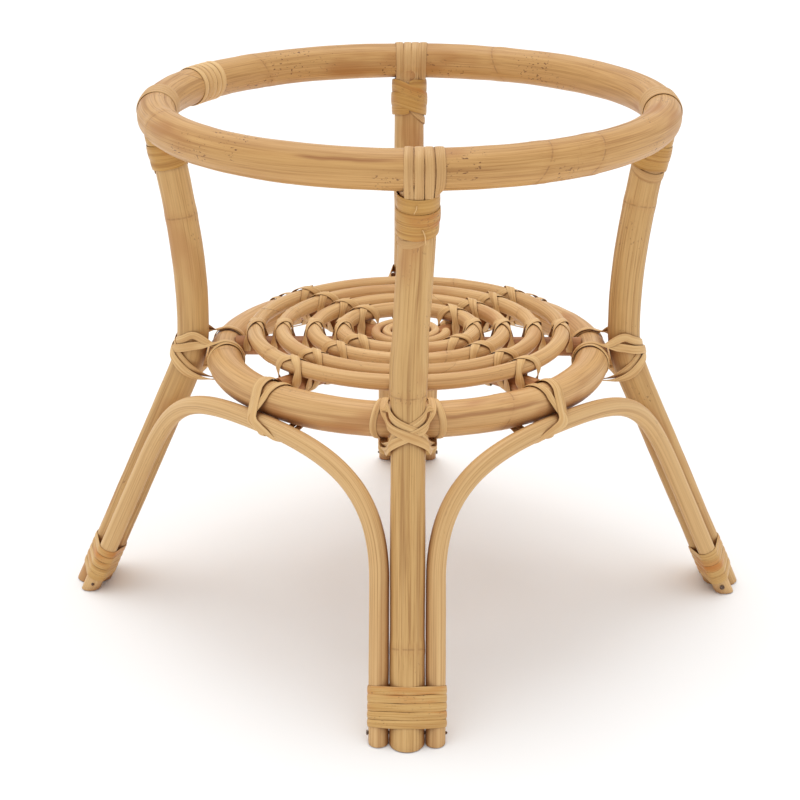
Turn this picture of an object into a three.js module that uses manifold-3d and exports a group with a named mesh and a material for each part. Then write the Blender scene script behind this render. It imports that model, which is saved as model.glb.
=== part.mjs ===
// Rattan pot stand: a bent top ring that holds the pot, four waisted legs, four arched braces,
// a lower ring and a round shelf of concentric cane rings, all lashed with flat cane strips.
// Millimetres, +Z up. The origin is on the floor, under the centre of the rings.
// Azimuth 0 is +X, and the front of the stand faces -Y.

import * as THREE from 'three';
import { mergeVertices } from 'three/addons/utils/BufferGeometryUtils.js';
import Module from 'manifold-3d';

const wasm = await Module();
wasm.setup();

// ---- Driving dimensions ----------------------------------------------------------------------

const GAP = 0.3; // left between pieces that touch
const STAND_HEIGHT = 300;

const TOP_RING = { radius: 139.5, tube: 10.5 };
TOP_RING.z = STAND_HEIGHT - TOP_RING.tube;
const LOWER_RING = { radius: 106.3, tube: 9.7, z: 145.6, joint: 0.26 };

const LEG_TUBE = 9.2;
const FOOT_RADIUS = 190.5; // leg centreline at the floor
const LEG_SPLAY = 0.445; // run over rise of the straight lower half
const KNEE = { z: 122, pull: 28 };
const WAIST = { radius: 124.6, z: 172, pull: 22 };
const LEG_CROWN = { lean: 0.17, pull: 40 }; // the outward sweep up to the top ring

const BRACE_TUBE = 5.2;
const BRACE_LEAVES_LEG_Z = 76;
const BRACE_BEND = { rise: 48, crown: 62 }; // pulls of the arch beside the leg and at its top
const BRACE_TOP_ANGLE = THREE.MathUtils.degToRad(-38); // where it touches the lower ring's section

const SHELF_CANE = 4.4;
const SHELF_RINGS = [
  { radius: 88.5, joint: 2.75, around: 44 },
  { radius: 72.7, joint: -1.35, around: 36 },
  { radius: 54.7, joint: 1.1, around: 28 },
  { radius: 38, joint: -2.6, around: 24 },
];
const SPOKE_TUBE = 5.5;
const SPOKE_Z = LOWER_RING.z + 4.2;
const SHELF_Z = SPOKE_Z + SPOKE_TUBE + GAP + SHELF_CANE;
const SPOKE_REACH = 100; // before the ends are coped to the lower ring
const DIAGONAL_SPOKE_START = 14.5;

const SPIRAL = { cane: 2.7, inner: 3.4, pitch: 6.1, turns: 3, steps: 16 };

const STRIP_THICK = 0.7; // split cane
const STRIP_SEAT = 0.3 + STRIP_THICK / 2; // middle of a strip to the pole under it
const LAYER = 1.7; // middle of a strip to the middle of the one that crosses it

const JOINT_WRAP = { azimuth: 2.65, turns: 5, steps: 8, pitch: 4.9, width: 4 };
const FOOT_BAND = { z: 18, turns: 4, steps: 8, pitch: 4.9, width: 4.3 };
const TOP_BAND = { z: 263, turns: 2, steps: 8, pitch: 8.4, width: 7.8 };
const TOP_STRAP = { count: 4, width: 3.8, pitch: 4.7, top: 276, dip: 6.5, dipStep: 5.4 };
const WAIST_LASHING = {
  width: 3.4, rise: 8.7, spread: 2.7, side: 12.9, pitch: 4.3, slack: 0.5, layer: 1.85,
};
const BRACE_LASHING = { width: 3.4, side: 9.4, steps: 10 };
const SPOKE_TIE = { width: 2.5, side: 6, seat: 1, slack: 0.3, layer: 1.68 };

const LEG_NAIL = { shank: 1.2, head: 1.6, headDepth: 1, length: 42, bore: 2 };
const FOOT_NAIL = { shank: 0.9, head: 1.4, headDepth: 0.7, bore: 1.3, z: 4.6 };

const SCARF = { wide: 4, long: 6, slope: 2 / 4.8 }; // a ring's slanted joint, in tube radii
const NAIL_SIDES = 6;

const RING_FACES = { around: 48, section: 12 };
const SHELF_SECTION = 8;
const LEG_STEPS = 17;
const BRACE_FACES = { steps: 26, section: 8 };
const WRAP_EIGHTH = Math.PI / 8; // the cane round a ring has corners at odd multiples of this
const SLICE = 1.2; // along a strip, between the slices whose gaps are measured
const APART = 14; // nearer slices than this along a strip are neighbours, not a gap

const QUARTER = Math.PI / 2;
const UP = new THREE.Vector3(0, 0, 1);

// ---- Finish ----------------------------------------------------------------------------------

const FINISH = {
  pole: { color: 0xd6aa6e, roughness: 0.5 },
  brace: { color: 0xd2a468, roughness: 0.55 },
  spoke: { color: 0xb0703f, roughness: 0.6 },
  cane: { color: 0xd9b075, roughness: 0.55 },
  strip: { color: 0xe1bf86, roughness: 0.6 },
  band: { color: 0xd2a05a, roughness: 0.5 },
  steel: { color: 0x6b5a4a, roughness: 0.45, metalness: 0.8 },
};

// ---- Solids ----------------------------------------------------------------------------------

function toSolid(geometry) {
  const bare = geometry.clone();
  bare.deleteAttribute('normal');
  bare.deleteAttribute('uv');
  const merged = mergeVertices(bare);
  return new wasm.Manifold(new wasm.Mesh({
    numProp: 3,
    vertProperties: merged.attributes.position.array,
    triVerts: new Uint32Array(merged.index.array),
  }));
}

function toGeometry(solid) {
  const mesh = solid.getMesh();
  const geometry = new THREE.BufferGeometry();
  geometry.setAttribute('position', new THREE.BufferAttribute(mesh.vertProperties, 3));
  geometry.setIndex(new THREE.BufferAttribute(mesh.triVerts, 1));
  geometry.computeVertexNormals();
  return geometry;
}

function cut(geometry, tools) {
  const rest = tools.reduce((solid, tool) => solid.subtract(toSolid(tool)), toSolid(geometry));
  return toGeometry(rest);
}

// A round pole along a path. Its section is a polygon inside the circle.
function pole(path, radius, steps, sides = 12) {
  const corners = Array.from({ length: sides }, (_, i) => {
    const angle = (2 * Math.PI * (i + 0.5)) / sides;
    return new THREE.Vector2(radius * Math.cos(angle), radius * Math.sin(angle));
  });
  return new THREE.ExtrudeGeometry(new THREE.Shape(corners), { steps, extrudePath: path });
}

const bar = (from, to, radius, sides = 10) => pole(new THREE.LineCurve3(from, to), radius, 1, sides);

const torus = ({ radius, z }, tube, { around, section } = RING_FACES) => (
  new THREE.TorusGeometry(radius, tube, section, around).translate(0, 0, z)
);

// A ring bent from one pole: its two ends meet in a slanted joint.
function bentRing(ring, tube, faces, joint) {
  const slit = new THREE.BoxGeometry(SCARF.wide * tube, SCARF.long * tube, GAP)
    .rotateX(Math.atan(SCARF.slope))
    .translate(ring.radius, 0, ring.z)
    .rotateZ(joint);
  return { body: torus(ring, tube, faces), slit };
}

// ---- Leg and brace lines, drawn for azimuth 0 --------------------------------------------------

const at = (radial, z, side = 0) => new THREE.Vector3(radial, side, z);
const legLineRadius = (z) => FOOT_RADIUS - LEG_SPLAY * z;
const LEG_RISE = at(-LEG_SPLAY, 1).normalize();
const BELOW_FLOOR = -12;

function makeLegPath() {
  const knee = at(legLineRadius(KNEE.z), KNEE.z);
  const waist = at(WAIST.radius, WAIST.z);
  const top = at(TOP_RING.radius, TOP_RING.z);
  const crown = at(LEG_CROWN.lean, 1).multiplyScalar(LEG_CROWN.pull);
  const intoWaist = at(WAIST.radius, WAIST.z - WAIST.pull);
  const outOfWaist = at(WAIST.radius, WAIST.z + LEG_CROWN.pull);
  const path = new THREE.CurvePath();
  path.add(new THREE.LineCurve3(at(legLineRadius(BELOW_FLOOR), BELOW_FLOOR), knee));
  path.add(new THREE.CubicBezierCurve3(
    knee, knee.clone().addScaledVector(LEG_RISE, KNEE.pull), intoWaist, waist,
  ));
  path.add(new THREE.CubicBezierCurve3(waist, outOfWaist, top.clone().sub(crown), top));
  return path;
}

const legPath = makeLegPath();

// Where the leg's centreline passes a height, and which way it runs there.
function legAt(z) {
  let low = 0;
  let high = 1;
  for (let i = 0; i < 24; i += 1) {
    const middle = (low + high) / 2;
    if (legPath.getPoint(middle).z < z) low = middle;
    else high = middle;
  }
  return { centre: legPath.getPoint(low), axis: legPath.getTangent(low) };
}

const BRACE_SIDE = LEG_TUBE + BRACE_TUBE + GAP;
const BRACE_TOUCH = LOWER_RING.tube + BRACE_TUBE + GAP;
const BRACE_OFF = {
  x: BRACE_TOUCH * Math.cos(BRACE_TOP_ANGLE),
  y: BRACE_TOUCH * Math.sin(BRACE_TOP_ANGLE),
};

// One arch, from beside the leg at azimuth 0 to beside the leg at azimuth 90 degrees.
function bracePath() {
  const mirror = (v) => new THREE.Vector3(v.y, v.x, v.z); // across the 45 degree plane
  const topZ = LOWER_RING.z + BRACE_OFF.y;
  const half = (LOWER_RING.radius + BRACE_OFF.x) * Math.SQRT1_2;
  const pull = BRACE_BEND.crown * Math.SQRT1_2;
  const foot = at(legLineRadius(BELOW_FLOOR), BELOW_FLOOR, BRACE_SIDE);
  const leaves = at(legLineRadius(BRACE_LEAVES_LEG_Z), BRACE_LEAVES_LEG_Z, BRACE_SIDE);
  const rise = leaves.clone().addScaledVector(LEG_RISE, BRACE_BEND.rise);
  const crown = at(half + pull, topZ, half - pull);
  const top = at(half, topZ, half);
  const path = new THREE.CurvePath();
  path.add(new THREE.LineCurve3(foot, leaves));
  path.add(new THREE.CubicBezierCurve3(leaves, rise, crown, top));
  path.add(new THREE.CubicBezierCurve3(top, mirror(crown), mirror(rise), mirror(leaves)));
  path.add(new THREE.LineCurve3(mirror(leaves), mirror(foot)));
  return path;
}

// ---- Rigid pieces ------------------------------------------------------------------------------

const floorBlock = new THREE.BoxGeometry(600, 600, 60).translate(0, 0, -30);
const lowerRingCope = torus(LOWER_RING, LOWER_RING.tube + GAP);
const footNailReach = BRACE_SIDE + BRACE_TUBE + GAP;

function footNailDrill() {
  const radial = legLineRadius(FOOT_NAIL.z);
  const end = footNailReach + FOOT_NAIL.head;
  return bar(at(radial, FOOT_NAIL.z, -end), at(radial, FOOT_NAIL.z, end), FOOT_NAIL.bore, NAIL_SIDES);
}

// The bore for the nail that holds the ring on a leg.
function legNailDrill(azimuth) {
  const tip = at(TOP_RING.radius, STAND_HEIGHT - LEG_NAIL.length - 3 * GAP);
  const above = at(TOP_RING.radius, STAND_HEIGHT + LEG_NAIL.headDepth);
  return bar(tip, above, LEG_NAIL.bore, NAIL_SIDES).rotateZ(azimuth);
}

function topRing() {
  const { body, slit } = bentRing(TOP_RING, TOP_RING.tube, RING_FACES, JOINT_WRAP.azimuth);
  return cut(body, [slit, ...[0, 1, 2, 3].map((i) => legNailDrill(i * QUARTER))]);
}

function lowerRing() {
  const { body, slit } = bentRing(LOWER_RING, LOWER_RING.tube, RING_FACES, LOWER_RING.joint);
  return cut(body, [slit]);
}

function shelfRing({ radius, joint, around }) {
  const faces = { around, section: SHELF_SECTION };
  const { body, slit } = bentRing({ radius, z: SHELF_Z }, SHELF_CANE, faces, joint);
  return cut(body, [slit]);
}

// Coped under the top ring, flat on the floor, bored for its nails.
function leg() {
  const cope = torus(TOP_RING, TOP_RING.tube + GAP);
  return cut(pole(legPath, LEG_TUBE, LEG_STEPS), [cope, floorBlock, footNailDrill(), legNailDrill(0)]);
}

function brace() {
  const drills = [footNailDrill(), footNailDrill().rotateZ(QUARTER)];
  const { steps, section } = BRACE_FACES;
  return cut(pole(bracePath(), BRACE_TUBE, steps, section), [floorBlock, ...drills]);
}

// The two full-width spokes are half-lapped where they cross.
function crossSpoke(lappedFrom) {
  const lap = 2 * (SPOKE_TUBE + GAP);
  const lift = lappedFrom * (lap - GAP) * 0.5;
  const notch = new THREE.BoxGeometry(lap, lap, lap).translate(0, 0, SPOKE_Z + lift);
  const spoke = bar(at(-SPOKE_REACH, SPOKE_Z), at(SPOKE_REACH, SPOKE_Z), SPOKE_TUBE);
  return cut(spoke, [lowerRingCope, notch]);
}

function diagonalSpoke() {
  const spoke = bar(at(DIAGONAL_SPOKE_START, SPOKE_Z), at(SPOKE_REACH, SPOKE_Z), SPOKE_TUBE);
  return cut(spoke, [lowerRingCope]);
}

// A nail with its head's top at the origin and its point down -Z.
function nail({ shank, head, headDepth }, length) {
  const outline = [
    [0, -length], [shank * 0.4, -length], [shank, -length + 2 * shank],
    [shank, -headDepth], [head, -headDepth], [head, 0], [0, 0],
  ];
  const points = outline.map(([x, y]) => new THREE.Vector2(x, y));
  return new THREE.LatheGeometry(points, NAIL_SIDES).rotateX(QUARTER);
}

const legNail = () => (
  nail(LEG_NAIL, LEG_NAIL.length).translate(TOP_RING.radius, 0, STAND_HEIGHT - GAP)
);

const footNail = () => (
  nail(FOOT_NAIL, 2 * footNailReach + FOOT_NAIL.headDepth)
    .rotateX(QUARTER)
    .translate(legLineRadius(FOOT_NAIL.z), -footNailReach - FOOT_NAIL.headDepth, FOOT_NAIL.z)
);

// ---- Wound cane --------------------------------------------------------------------------------
// A route is a list of stations { at, out }, where out points away from what the cane lies on.

const stripSection = (width) => [[-1, -1], [1, -1], [1, 1], [-1, 1]]
  .map(([across, out]) => [(across * width) / 2, (out * STRIP_THICK) / 2]);

const roundSection = (radius, sides) => Array.from({ length: sides }, (_, i) => {
  const angle = (2 * Math.PI * i) / sides;
  return [radius * Math.cos(angle), radius * Math.sin(angle)];
});

// The section's corners at every station of the route.
function sweepRows(route, section) {
  return route.map(({ at: here, out }, i) => {
    const before = route[Math.max(i - 1, 0)].at;
    const after = route[Math.min(i + 1, route.length - 1)].at;
    const along = after.clone().sub(before).normalize();
    const lift = out.clone().addScaledVector(along, -out.dot(along)).normalize();
    const across = along.clone().cross(lift);
    return section.map(([a, o]) => here.clone().addScaledVector(across, a).addScaledVector(lift, o));
  });
}

// The corners of one face between two rows, and whether it is split from the first to the third.
// A twisted face is split along the diagonal that bows outwards, because otherwise the two walls
// of a thin strip could pass through each other.
function faceOf(rows, i, j) {
  const k = (j + 1) % rows[i].length;
  const [a, b, c, d] = [rows[i][j], rows[i][k], rows[i + 1][k], rows[i + 1][j]];
  const outwards = c.clone().sub(a).cross(b.clone().sub(a));
  const bow = a.clone().add(c).sub(b).sub(d);
  const firstToThird = bow.dot(outwards) >= 0;
  return { firstToThird, diagonal: firstToThird ? [a, c] : [b, d] };
}

function sweep(route, section) {
  const rows = sweepRows(route, section);
  const sides = section.length;
  const index = [];
  const last = sides * (rows.length - 1);
  for (let j = 1; j < sides - 1; j += 1) {
    index.push(0, j, j + 1, last, last + j + 1, last + j);
  }
  for (let start = 0; start < last; start += sides) {
    for (let j = 0; j < sides; j += 1) {
      const k = (j + 1) % sides;
      const next = start + sides;
      const { firstToThird } = faceOf(rows, start / sides, j);
      index.push(start + j, firstToThird ? next + k : next + j, start + k);
      index.push(firstToThird ? start + j : start + k, next + j, next + k);
    }
  }
  const positions = rows.flat().flatMap((corner) => corner.toArray());
  const geometry = new THREE.BufferGeometry();
  geometry.setAttribute('position', new THREE.Float32BufferAttribute(positions, 3));
  geometry.setIndex(index);
  geometry.computeVertexNormals();
  return geometry;
}

// The least distance between points on the skin of a route that aren't neighbours along it.
function leastGap(route, section) {
  const rows = sweepRows(route, section);
  const slices = [];
  let run = 0;
  for (let i = 0; i + 1 < rows.length; i += 1) {
    const length = route[i].at.distanceTo(route[i + 1].at);
    const pieces = Math.ceil(length / SLICE);
    for (let p = 0; p < pieces; p += 1) {
      const ring = rows[i].map((corner, j) => corner.clone().lerp(rows[i + 1][j], p / pieces));
      const edges = ring.flatMap((corner, j) => {
        const next = ring[(j + 1) % ring.length];
        const [from, to] = faceOf(rows, i, j).diagonal;
        const bowed = from.clone().lerp(to, p / pieces);
        return [corner, corner.clone().lerp(bowed, 0.5), bowed, bowed.clone().lerp(next, 0.5)];
      });
      slices.push({ run: run + (length * p) / pieces, edges });
    }
    run += length;
  }
  let least = Infinity;
  slices.forEach((one, i) => {
    slices.slice(i + 1).filter((other) => other.run - one.run > APART).forEach((other) => {
      one.edges.forEach((a) => {
        other.edges.forEach((b) => {
          least = Math.min(least, a.distanceToSquared(b));
        });
      });
    });
  });
  return Math.sqrt(least);
}

// How far outside a circle the corners of a polygon lie, so that its sides clear the circle.
const standOff = (radius, sides) => radius / Math.cos(Math.PI / sides) - radius;

// A station on the skin of a level ring: turn goes round its section, side is along the ring.
function ringStation({ radius, z }, reach, turn, side, azimuth = 0) {
  const out = at(Math.cos(turn), Math.sin(turn));
  const here = at(radius, z).addScaledVector(out, reach);
  const angle = azimuth + side / radius;
  return { at: here.applyAxisAngle(UP, angle), out: out.applyAxisAngle(UP, angle) };
}

// A station on the skin of the leg at azimuth 0, square to its centreline: turn 0 faces outwards.
function legStation(z, reach, turn) {
  const { centre, axis } = legAt(z);
  const sideways = at(0, 0, 1);
  const outwards = sideways.clone().cross(axis).normalize();
  const out = outwards.multiplyScalar(Math.cos(turn)).addScaledVector(sideways, Math.sin(turn));
  return { at: centre.addScaledVector(out, reach), out };
}

// The point of the hull round some circles whose outward normal has the given angle.
function hullPoint(circles, angle, seat) {
  const [nx, ny] = [Math.cos(angle), Math.sin(angle)];
  const reach = ({ x, y, r }) => x * nx + y * ny + r;
  const { x, y, r } = circles.reduce((best, next) => (reach(next) > reach(best) ? next : best));
  return new THREE.Vector2(x + (r + seat) * nx, y + (r + seat) * ny);
}

// Turns round a bundle of poles that run beside the leg. The bundle's x is sideways, y outwards.
function windLeg(circles, { z, turns, steps, pitch }, layer) {
  const largest = Math.max(...circles.map(({ r }) => r));
  const seat = STRIP_SEAT + layer + standOff(largest + STRIP_SEAT + layer, steps);
  const risePerRun = legAt(z).axis.z;
  return Array.from({ length: turns * steps + 1 }, (_, i) => {
    const angle = (2 * Math.PI * i) / steps;
    const run = pitch * (i / steps - turns / 2);
    const { centre, axis } = legAt(z + run * risePerRun);
    const sideways = at(0, 0, 1);
    const outwards = sideways.clone().cross(axis).normalize();
    const flat = hullPoint(circles, angle, seat);
    const here = centre.addScaledVector(sideways, flat.x).addScaledVector(outwards, flat.y);
    const out = sideways.multiplyScalar(Math.cos(angle)).addScaledVector(outwards, Math.sin(angle));
    return { at: here, out };
  });
}

const footBand = () => windLeg([
  { x: 0, y: 0, r: LEG_TUBE },
  { x: BRACE_SIDE, y: 0, r: BRACE_TUBE },
  { x: -BRACE_SIDE, y: 0, r: BRACE_TUBE },
], FOOT_BAND, 0);

const topBand = () => windLeg([{ x: 0, y: 0, r: LEG_TUBE }], TOP_BAND, LAYER);

// Close turns bind the slanted joint of the top ring.
function jointWrap() {
  const { azimuth, turns, steps, pitch } = JOINT_WRAP;
  const seat = TOP_RING.tube + STRIP_SEAT;
  const reach = seat + standOff(seat, steps);
  return Array.from({ length: turns * steps + 1 }, (_, i) => (
    ringStation(TOP_RING, reach, (2 * Math.PI * i) / steps, pitch * (i / steps - turns / 2), azimuth)
  ));
}

// The strip that hangs the ring on a leg: side by side it goes up the leg's outer face, over the
// ring and down the inner face, and it comes back round the leg in loops that lie in each other.
function topStrap() {
  const { count, pitch, top, dip, dipStep } = TOP_STRAP;
  const overSeat = TOP_RING.tube + STRIP_SEAT;
  const overRing = overSeat + standOff(overSeat, 8);
  const legSeat = LEG_TUBE + STRIP_SEAT;
  const onLeg = legSeat + standOff(legSeat, 12);
  const sides = Array.from({ length: count }, (_, i) => pitch * (i - (count - 1) / 2));
  const outerTurn = (side) => Math.asin(side / onLeg);
  const innerTurn = (side) => -Math.PI - Math.asin(side / onLeg);
  return sides.flatMap((side, i) => {
    const over = [-1, 1, 3, 5, 7, 9].map((k) => (
      ringStation(TOP_RING, overRing, k * WRAP_EIGHTH, side)
    ));
    const stations = [legStation(top, onLeg, outerTurn(side)), ...over];
    stations.push(legStation(top, onLeg, innerTurn(side)));
    if (i + 1 === count) return stations;
    const from = innerTurn(side);
    const to = outerTurn(sides[i + 1]);
    const steps = Math.round((to - from) / (Math.PI / 6));
    for (let k = 1; k < steps; k += 1) {
      const share = (2 * k) / steps - 1;
      const depth = (dip + dipStep * i) * Math.sqrt(1 - share * share);
      const turn = from + ((to - from) * k) / steps;
      stations.push(legStation(top - depth, onLeg, turn));
    }
    return stations;
  });
}

// The crossed lashing of a leg to the lower ring. Each strip runs slantwise over the leg's outer
// face, one and a half turns round the ring beside the leg, and slantwise back.
function waistLashing() {
  const { rise, spread, side, pitch, slack, layer: crossing } = WAIST_LASHING;
  const legSeat = LEG_TUBE + STRIP_SEAT + slack;
  const ringSeat = LOWER_RING.tube + STRIP_SEAT;
  const onLeg = legSeat + standOff(legSeat, 8);
  const onRing = ringSeat + standOff(ringSeat, 8);
  const slant = (direction, lift, layer) => [-3, -1, 1, 3].map((k) => {
    const z = LOWER_RING.z + lift + (rise * k) / 3;
    return legStation(z, onLeg + layer, direction * k * WRAP_EIGHTH);
  });
  const besideLeg = (direction) => [3, 5, 7, 9, 11, 13, 15, 17, 19, 21, 23, 25, 27, 29].map((k, i, all) => {
    const layer = i + 1 === all.length ? crossing : 0; // the last crosses the strip that came down
    const along = side + (pitch * i) / 8;
    return ringStation(LOWER_RING, onRing + layer, k * WRAP_EIGHTH, direction * along);
  });
  return [
    ...slant(1, -spread, 0),
    ...besideLeg(1),
    ...slant(-1, 0, crossing),
    ...besideLeg(-1),
    ...slant(1, spread, 0),
  ];
}

// The lashing of a brace to the lower ring: two turns that cross on the outer face and pass the
// end of the spoke on both sides.
function braceLashing() {
  const { side, steps } = BRACE_LASHING;
  const bundle = [{ x: 0, y: 0, r: LOWER_RING.tube }, { ...BRACE_OFF, r: BRACE_TUBE }];
  const seat = STRIP_SEAT + standOff(LOWER_RING.tube + STRIP_SEAT, steps);
  return Array.from({ length: 2 * steps }, (_, i) => {
    const swing = (2 * Math.PI * (i + 0.5)) / steps; // from the ring's inner side
    const angle = Math.PI - swing;
    const crossing = i >= steps ? LAYER * Math.max(0, Math.sin((swing - 2 * Math.PI) / 2)) : 0;
    const flat = hullPoint(bundle, angle, seat + crossing);
    const turned = QUARTER / 2 + (side * Math.cos(swing / 2)) / LOWER_RING.radius;
    const here = at(LOWER_RING.radius + flat.x, LOWER_RING.z + flat.y).applyAxisAngle(UP, turned);
    return { at: here, out: at(Math.cos(angle), Math.sin(angle)).applyAxisAngle(UP, turned) };
  });
}

// One strand ties the shelf's rings to a spoke: it winds in from the outer ring to the inner one,
// over each ring and under the spoke, and winds back out across itself.
function spokeTie() {
  const { side, seat, slack, layer: underLayer } = SPOKE_TIE;
  const ringSeat = SHELF_CANE + STRIP_SEAT + slack;
  const onRing = ringSeat + standOff(ringSeat, 6);
  const underSeat = SPOKE_TUBE + seat;
  const onSpoke = underSeat + standOff(underSeat, 6);
  const clear = SHELF_CANE + STRIP_SEAT + seat;
  const sag = (ring) => underSeat ** 2 / (2 * ring.radius); // of the ring, at the spoke's sides
  const innerSide = (ring) => ring.radius - clear - sag(ring);
  const outerSide = (ring) => ring.radius + clear - sag(ring);
  const thirds = [1, 3, 5];
  const over = ({ radius }, layer) => thirds.map((k) => {
    const reach = onRing + (k === 3 ? layer : 0);
    return ringStation({ radius, z: SHELF_Z }, reach, (k * Math.PI) / 6, (side * (k - 3)) / 2);
  });
  const under = (from, to, layer) => thirds.map((k) => {
    const turn = (-k * Math.PI) / 6;
    const out = at(0, Math.sin(turn), Math.cos(turn));
    const radial = THREE.MathUtils.lerp(from, to, (k - 1) / 4);
    return { at: at(radial, SPOKE_Z).addScaledVector(out, onSpoke + layer), out };
  });
  const flip = (stations) => stations.map(({ at: here, out }) => ({
    at: here.clone().setY(-here.y), out: out.clone().setY(-out.y),
  })).reverse();
  const inner = innerSide(SHELF_RINGS.at(-1));
  const outer = SHELF_RINGS[0].radius + ringSeat;
  const inwards = SHELF_RINGS.flatMap((ring, i) => {
    const next = SHELF_RINGS[i + 1];
    const beyond = next ? outerSide(next) : inner;
    return [...over(ring, 0), ...under(innerSide(ring), beyond, 0)];
  });
  const outwards = [...SHELF_RINGS].reverse().flatMap((ring, i, rings) => {
    const next = rings[i + 1];
    const back = flip(over(ring, LAYER));
    return next ? [...back, ...under(outerSide(ring), innerSide(next), underLayer)] : back;
  });
  const start = under(outer, outer, 0).at(-1);
  const end = under(outer, outer, 0)[0];
  return [start, ...inwards, ...outwards, end];
}

function spiral() {
  const { inner, pitch, turns, steps, cane } = SPIRAL;
  const z = SPOKE_Z + SPOKE_TUBE + GAP + cane;
  return Array.from({ length: turns * steps + 1 }, (_, i) => {
    const angle = (2 * Math.PI * i) / steps;
    const radius = inner + (pitch * i) / steps;
    return { at: at(radius, z).applyAxisAngle(UP, angle), out: UP.clone() };
  });
}

// ---- Assembly ----------------------------------------------------------------------------------

const stand = new THREE.Group();

function addPiece(name, geometry, finish, azimuth = 0) {
  const material = new THREE.MeshStandardMaterial({ name: finish, ...FINISH[finish] });
  const mesh = new THREE.Mesh(geometry, material);
  mesh.name = name;
  mesh.rotation.z = azimuth;
  stand.add(mesh);
}

// Wound cane is checked against itself before it is used.
function wound(name, route, section) {
  const gap = leastGap(route, section);
  console.log(`${name}: least gap to itself ${gap.toFixed(2)} mm`);
  return sweep(route, section);
}

const LEGS = ['right', 'back', 'left', 'front'];
const BRACES = ['back_right', 'back_left', 'front_left', 'front_right'];

addPiece('top_ring', topRing(), 'pole');
addPiece('lower_ring', lowerRing(), 'pole');
SHELF_RINGS.forEach((ring, i) => addPiece(`shelf_ring_${i + 1}`, shelfRing(ring), 'cane'));
addPiece('shelf_spiral', wound('shelf_spiral', spiral(), roundSection(SPIRAL.cane, 6)), 'cane');
addPiece('spoke_cross_1', crossSpoke(1), 'spoke');
addPiece('spoke_cross_2', crossSpoke(-1), 'spoke', QUARTER);
addPiece('top_joint_wrap', wound('top_joint_wrap', jointWrap(), stripSection(JOINT_WRAP.width)), 'strip');

function addForEachLeg(prefix, names, geometry, finish) {
  names.forEach((place, i) => addPiece(`${prefix}_${place}`, geometry, finish, i * QUARTER));
}

function addLashings(prefix, names, route, width, finish) {
  addForEachLeg(prefix, names, wound(prefix, route, stripSection(width)), finish);
}

addForEachLeg('leg', LEGS, leg(), 'pole');
addForEachLeg('brace', BRACES, brace(), 'brace');
addForEachLeg('leg_nail', LEGS, legNail(), 'steel');
addForEachLeg('foot_nail', LEGS, footNail(), 'steel');
addLashings('foot_band', LEGS, footBand(), FOOT_BAND.width, 'strip');
addLashings('top_band', LEGS, topBand(), TOP_BAND.width, 'band');
addLashings('top_strap', LEGS, topStrap(), TOP_STRAP.width, 'strip');
addLashings('waist_lashing', LEGS, waistLashing(), WAIST_LASHING.width, 'strip');
addLashings('brace_lashing', BRACES, braceLashing(), BRACE_LASHING.width, 'strip');

const spoke = diagonalSpoke();
BRACES.forEach((place, i) => addPiece(`spoke_${place}`, spoke, 'spoke', (i + 0.5) * QUARTER));

const tie = wound('spoke_tie', spokeTie(), stripSection(SPOKE_TIE.width));
[LEGS, BRACES].forEach((places, half) => {
  places.forEach((place, i) => addPiece(`spoke_tie_${place}`, tie, 'strip', (i + half / 2) * QUARTER));
});

export default stand;
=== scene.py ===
import math

import bpy
import numpy as np
from mathutils import Matrix


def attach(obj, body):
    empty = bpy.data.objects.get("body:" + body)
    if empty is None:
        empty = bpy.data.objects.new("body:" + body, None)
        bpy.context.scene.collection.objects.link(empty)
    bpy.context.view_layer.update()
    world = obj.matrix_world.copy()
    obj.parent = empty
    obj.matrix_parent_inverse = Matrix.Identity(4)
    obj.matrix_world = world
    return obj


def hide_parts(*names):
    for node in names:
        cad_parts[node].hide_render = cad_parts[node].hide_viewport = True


# The looks of the rattan plant stand. Lengths are millimetres, as in the CAD source, and MM turns
# them into metres. Azimuth 0 is +X and the front of the stand faces -Y.

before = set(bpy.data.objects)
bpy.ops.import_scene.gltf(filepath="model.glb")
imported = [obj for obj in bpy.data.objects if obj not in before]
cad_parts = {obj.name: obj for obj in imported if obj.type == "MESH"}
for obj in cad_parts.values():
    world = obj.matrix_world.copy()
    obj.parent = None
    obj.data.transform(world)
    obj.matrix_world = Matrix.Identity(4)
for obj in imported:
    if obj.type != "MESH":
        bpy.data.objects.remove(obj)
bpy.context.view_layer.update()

MM = 0.001
TAU = 2 * math.pi
QUARTER = math.pi / 2

# ---- Sizes, the same as in the CAD apart from the strips ----------------------------------------

GAP = 0.3  # between pieces that touch, such as a coped end and the pole it meets
STAND_HEIGHT = 300
TOP_R, TOP_TUBE = 139.5, 10.5
TOP_Z = STAND_HEIGHT - TOP_TUBE
LOW_R, LOW_TUBE, LOW_Z = 106.3, 9.7, 145.6
LEG_TUBE, FOOT_R, SPLAY = 9.2, 190.5, 0.445
KNEE_Z, KNEE_PULL = 122, 28
WAIST_R, WAIST_Z, WAIST_PULL = 124.6, 172, 22
CROWN_LEAN, CROWN_PULL = 0.17, 40
BRACE_TUBE, BRACE_LEAVES_Z, BRACE_RISE, BRACE_CROWN = 5.2, 76, 48, 62
BRACE_TOP_ANGLE = math.radians(-38)
BRACE_SIDE = LEG_TUBE + GAP + BRACE_TUBE  # from the leg's middle to the brace's, at the foot
BRACE_TOUCH = LOW_TUBE + GAP + BRACE_TUBE  # from the lower ring's middle to the arch's, at its top
CANE = 4.4
SHELF_RINGS = ((88.5, 2.75), (72.7, -1.35), (54.7, 1.1), (38, -2.6))  # radius, azimuth of its joint
SPOKE_TUBE, SPOKE_RISE, SPOKE_REACH, SPOKE_START = 5.5, 4.2, 100, 14.5
SPOKE_Z = LOW_Z + SPOKE_RISE
SHELF_Z = SPOKE_Z + SPOKE_TUBE + GAP + CANE
SCARF = 2.4  # run over rise of a ring's slanted joint

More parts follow.
